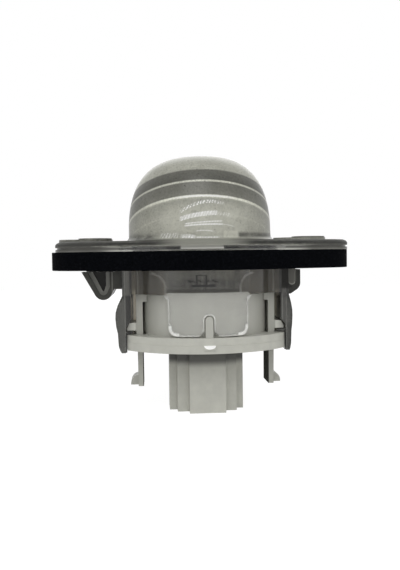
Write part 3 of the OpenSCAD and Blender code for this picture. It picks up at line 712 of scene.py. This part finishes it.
# Painted shade under the cross plate, by z, z again and side, and on the arms' inner sides,
# which don't shine, by side and z
PLATE_FOOT = -18.5
BELOW_PLATE = (PLATE_FOOT, PLATE_FOOT - 0.3)
UNDER_PLATE = ((PLATE_FOOT - 4.3, PLATE_FOOT - 2.3), (PLATE_FOOT, PLATE_FOOT - 0.1), (9.5, 9.0))
UNDER_SHARE = 0.93
ARM_INSIDE = ((14.3, 14.85, 0.03), BELOW_PLATE)
ARM_SHARE = 0.9
PAINTED_SHADE_TONE = (0.04, 0.039, 0.034)
# The arms below the plate are in its painted shadow, and their barbs are painted lighter as
# painted light, by side and z
LEG = ((12.0, 12.5), BELOW_PLATE)
LEG_SHADOW = (0.22, (0.02, 0.02, 0.02))
BARB = ((16.35, 16.55), (-14.3, -12.0, 0.1))
BARB_LIGHT_TONE = (0.66, 0.66, 0.60)
# A painted highlight, a bright half-moon on the nub in the middle of the plate's front: the
# lower half of a flattened circle, by reach from its centre, z and y
NUB_X = 0.03
NUB_Z = -16.65
NUB_R = 1.35
NUB_FLATNESS = 1.7
NUB_MOON = ((NUB_R, NUB_R - 0.12), (NUB_Z + 0.05, NUB_Z - 0.05), (-16.0, -16.5))
NUB_HIGHLIGHT_TONE = (1.0, 1.0, 0.98)


def holder_plastic():
    """Light grey plastic, with painted shade under its plate and painted light on its barbs and nub."""
    made = Shader("holder_plastic", Roughness=0.42, IOR=1.5)
    x, y, z = made.millimetres()
    side = made.size(x)
    tone = made.tones(made.noise(2.5 * MM, detail=5), *HOLDER_TONES)
    tone = made.stain(tone, made.within(z, ABOVE_PLATE), *ABOVE_STAIN)
    under = made.patch((z, z, side), UNDER_PLATE)
    inner = made.patch((side, z), ARM_INSIDE)
    painted_shade = made.most(made.times(under, UNDER_SHARE), made.times(inner, ARM_SHARE))
    tone = made.mix(painted_shade, tone, PAINTED_SHADE_TONE)
    tone = made.stain(tone, made.patch((side, z), LEG), *LEG_SHADOW)
    tone = made.mix(made.patch((side, z), BARB), tone, BARB_LIGHT_TONE)
    down = made.times(made.less(z, NUB_Z), NUB_FLATNESS)
    reach = made.radius(made.less(x, NUB_X), down)
    tone = made.mix(made.patch((reach, z, y), NUB_MOON), tone, NUB_HIGHLIGHT_TONE)
    made.put("Base Color", tone)
    made.put("Specular IOR Level", made.less(HOLDER_SHINE, made.times(inner, HOLDER_SHINE)))
    made.bump(made.noise(0.25 * MM, detail=2), 0.006 * MM)
    return made.material


# How much darker and rougher bare metal is where it is tarnished
TARNISH_DARKENS = 0.7
TARNISH_ROUGHENS = 0.15


def metal(name, colour, roughness):
    """A bare metal with spots of tarnish."""
    made = Shader(name, Metallic=1.0)
    spots = made.noise(1.5 * MM, detail=4)
    dark = tuple(TARNISH_DARKENS * part for part in colour)
    made.put("Base Color", made.tones(spots, dark, colour))
    made.put("Roughness", made.tones(spots, roughness + TARNISH_ROUGHENS, roughness))
    return made.material


def bulb_glass():
    """Clear glass with a faint film on it."""
    made = Shader("bulb_glass", Transmission_Weight=1.0, IOR=1.45)
    film = made.noise(3 * MM, detail=2)
    made.put("Base Color", made.tones(film, (0.90, 0.92, 0.93), (0.97, 0.98, 0.99)))
    made.put("Roughness", made.tones(film, 0.0, 0.04, 0.3, 0.8))
    return made.material


MATERIALS = {
    "clear_lens": clear_lens(),
    "clear_housing": clear_housing(),
    "foam": foam(),
    "holder_plastic": holder_plastic(),
    "contact_metal": metal("contact_metal", (0.72, 0.66, 0.5), 0.3),
    "cap_metal": metal("cap_metal", (0.75, 0.74, 0.71), 0.2),
    "bulb_glass": bulb_glass(),
    "filament": metal("filament", (0.3, 0.3, 0.32), 0.4),
    "lead_wire": metal("lead_wire", (0.6, 0.58, 0.55), 0.3),
}


# Moulded pieces: copies of CAD nodes with rounded edges. Edges sharper than SMOOTH_ANGLE stay
# sharp or are rounded, faces that meet at less than FLAT_ANGLE are joined, and points closer
# than WELD are one
SMOOTH_ANGLE = math.radians(30)
FLAT_ANGLE = math.radians(0.6)
WELD = 0.002 * MM
ROUNDING_STEPS = 2
# The width of each piece's rounding. The lens has none: its flange is rounded in the solid
ROUNDINGS = {
    "lens": 0,
    "lens_housing": 0.12 * MM,
    "gasket": 0.15 * MM,
    "bulb_holder": 0.15 * MM,
}
# Ribs in millimetres, one on each side, as the lowest and the highest corner of the right one.
# Those on the tub and the wings close the slits beside the latch arms, and those at the ends of
# the cross plate guide it
RIBS = {
    "bulb_holder": [((13.5, 0.6, -15.9), (16.5, 1.4, -6.1))],
    "lens_housing": [
        ((16.2, 1.7, -14.8), (18.9, 2.5, -6.2)),
        ((18.4, -8.4, -19.05), (18.8, -7.6, -14.9)),
    ],
}
# How much the front and back of a rib lean in over its height, as those of moulded ribs do
RIB_DRAFT = 0.06


def cover(obj, material):
    obj.data.materials.clear()
    obj.data.materials.append(material)


def add_ribs(work, low, high):
    """Adds the rib between two corners and its mirror image to the mesh in work."""
    for turn in (-1, 1):
        corners = []
        for z, draft in ((low[2], 0.0), (high[2], RIB_DRAFT)):
            front, back = low[1] + draft, high[1] - draft
            for x, y in ((low[0], front), (high[0], front), (high[0], back), (low[0], back)):
                corners.append(work.verts.new(Vector((turn * x, y, z)) * MM))
        bottom, top = corners[:4], corners[4:]
        sides = [(bottom[i], bottom[(i + 1) % 4], top[(i + 1) % 4], top[i]) for i in range(4)]
        for face in [bottom[::-1], top, *sides]:
            made = work.faces.new(face)
            if turn < 0:
                made.normal_flip()


def moulded_mesh(name):
    """A node's mesh with its flat faces joined, its ribs added and its curves smooth."""
    work = bmesh.new()
    work.from_mesh(NODES[name].data)
    bmesh.ops.remove_doubles(work, verts=work.verts, dist=WELD)
    bmesh.ops.dissolve_limit(work, angle_limit=FLAT_ANGLE, verts=work.verts, edges=work.edges)
    for low, high in RIBS.get(name, ()):
        add_ribs(work, low, high)
    mesh = bpy.data.meshes.new(name + "_moulded")
    work.to_mesh(mesh)
    work.free()
    for spare in ("custom_normal", "sharp_edge", "sharp_face"):
        if spare in mesh.attributes:
            mesh.attributes.remove(mesh.attributes[spare])
    mesh.shade_smooth()
    mesh.set_sharp_from_angle(angle=SMOOTH_ANGLE)
    return mesh


def moulded(name, rounding):
    """Shows a copy of a CAD node with rounded edges in its place."""
    obj = bpy.data.objects.new(name + "_moulded", moulded_mesh(name))
    bpy.context.scene.collection.objects.link(obj)
    if rounding:
        bevel = obj.modifiers.new("rounding", "BEVEL")
        bevel.width = rounding
        bevel.segments = ROUNDING_STEPS
        bevel.limit_method = "ANGLE"
        bevel.angle_limit = SMOOTH_ANGLE
        bevel.harden_normals = True
    cover(obj, MATERIALS[NODE_SLOTS[name]])
    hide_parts(name)
    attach(obj, BODY)


# Surroundings: the world's light and the floor, which is mixed with a share of glow where the
# camera sees it
WHITE = (1, 1, 1, 1)
ROOM_LIGHT = 0.35
FLOOR_HALF = 0.6
FLOOR_GREY = 0.9
FLOOR_ROUGHNESS = 0.9
FLOOR_GLOW = 1.15
GLOW_SHARE = 0.8
# Lamps: name, place, width and power
LAMPS = [
    ("key", (-0.05, -0.45, 0.5), 0.5, 2.2),
    ("fill_left", (-0.5, -0.25, 0.1), 0.4, 0.3),
    ("fill_right", (0.5, -0.2, 0.15), 0.4, 0.3),
    ("spark", (0.03, -0.45, 0.1), 0.05, 0.1),
    ("back", (0.05, 0.45, 0.25), 0.5, 0.6),
]


def camera():
    """The camera of the photograph, turned about its target."""
    yaw, pitch, roll = CAMERA_YAW, CAMERA_PITCH, CAMERA_ROLL
    ahead = Vector((
        math.sin(yaw) * math.cos(pitch),
        math.cos(yaw) * math.cos(pitch),
        math.sin(pitch),
    ))
    right = Vector((math.cos(yaw), -math.sin(yaw), 0))
    up = right.cross(ahead)
    turned_right = right * math.cos(roll) - up * math.sin(roll)
    turned_up = right * math.sin(roll) + up * math.cos(roll)
    data = bpy.data.cameras.new("camera")
    data.sensor_width = SENSOR
    data.lens = FOCAL_PIXELS * SENSOR / IMAGE_LONG_SIDE
    data.clip_start = CLIP_START
    data.clip_end = CLIP_END
    obj = bpy.data.objects.new("camera", data)
    bpy.context.scene.collection.objects.link(obj)
    turn = Matrix((turned_right, turned_up, -ahead)).transposed().to_4x4()
    obj.matrix_world = Matrix.Translation(CAMERA_TARGET - ahead * CAMERA_DISTANCE) @ turn
    bpy.context.scene.camera = obj


def lamp(name, place, width, power):
    """A round lamp that faces the part's origin."""
    data = bpy.data.lights.new(name, "AREA")
    data.shape = "DISK"
    data.size = width
    data.energy = power
    obj = bpy.data.objects.new(name, data)
    bpy.context.scene.collection.objects.link(obj)
    obj.location = place
    obj.rotation_mode = "QUATERNION"
    obj.rotation_quaternion = (-Vector(place)).to_track_quat("-Z", "Y")


def white_seen(tree):
    """1 for the camera and through gloss and glass, where the background shows white."""
    path = tree.nodes.new("ShaderNodeLightPath")
    seen = path.outputs["Is Camera Ray"]
    for ray in ("Is Glossy Ray", "Is Transmission Ray"):
        both = tree.nodes.new("ShaderNodeMath")
        both.operation = "MAXIMUM"
        tree.links.new(seen, both.inputs[0])
        tree.links.new(path.outputs[ray], both.inputs[1])
        seen = both.outputs[0]
    return seen


def blend_surfaces(tree, share, plain, white, target):
    """Feeds target with plain where share is 0 and with white where it is 1."""
    mix = tree.nodes.new("ShaderNodeMixShader")
    tree.links.new(share, mix.inputs[0])
    tree.links.new(plain, mix.inputs[1])
    tree.links.new(white, mix.inputs[2])
    tree.links.new(mix.outputs[0], target)


def world():
    """Plain light from all round, white where the camera sees it."""
    made = bpy.data.worlds.new("studio")
    bpy.context.scene.world = made
    made.use_nodes = True
    tree = made.node_tree
    room = tree.nodes["Background"]
    room.inputs["Color"].default_value = WHITE
    room.inputs["Strength"].default_value = ROOM_LIGHT
    white = tree.nodes.new("ShaderNodeBackground")
    white.inputs["Color"].default_value = WHITE
    target = tree.nodes["World Output"].inputs["Surface"]
    blend_surfaces(tree, white_seen(tree), room.outputs[0], white.outputs[0], target)


def floor_material():
    """Matt grey that keeps the part's shadow, nearly white where the camera sees it."""
    made = bpy.data.materials.new("floor")
    made.use_nodes = True
    tree = made.node_tree
    matt = tree.nodes["Principled BSDF"]
    matt.inputs["Base Color"].default_value = (FLOOR_GREY, FLOOR_GREY, FLOOR_GREY, 1)
    matt.inputs["Roughness"].default_value = FLOOR_ROUGHNESS
    glow = tree.nodes.new("ShaderNodeEmission")
    glow.inputs["Color"].default_value = WHITE
    glow.inputs["Strength"].default_value = FLOOR_GLOW
    share = tree.nodes.new("ShaderNodeMath")
    share.operation = "MULTIPLY"
    share.inputs[1].default_value = GLOW_SHARE
    tree.links.new(white_seen(tree), share.inputs[0])
    target = tree.nodes["Material Output"].inputs["Surface"]
    blend_surfaces(tree, share.outputs[0], matt.outputs[0], glow.outputs[0], target)
    return made


def floor():
    """A floor at the height of the part's lowest point."""
    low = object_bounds()[0].z
    half = FLOOR_HALF
    mesh = bpy.data.meshes.new("floor")
    corners = [(-half, -half, low), (half, -half, low), (half, half, low), (-half, half, low)]
    mesh.from_pydata(corners, [], [(0, 1, 2, 3)])
    obj = bpy.data.objects.new("floor", mesh)
    bpy.context.scene.collection.objects.link(obj)
    cover(obj, floor_material())
    obj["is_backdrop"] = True


for node_name, slot_name in NODE_SLOTS.items():
    cover(NODES[node_name], MATERIALS[slot_name])
for piece, rounding in ROUNDINGS.items():
    moulded(piece, rounding)
camera()
world()
floor()
for settings in LAMPS:
    lamp(*settings)

bpy.context.scene.view_settings.view_transform = "Standard"
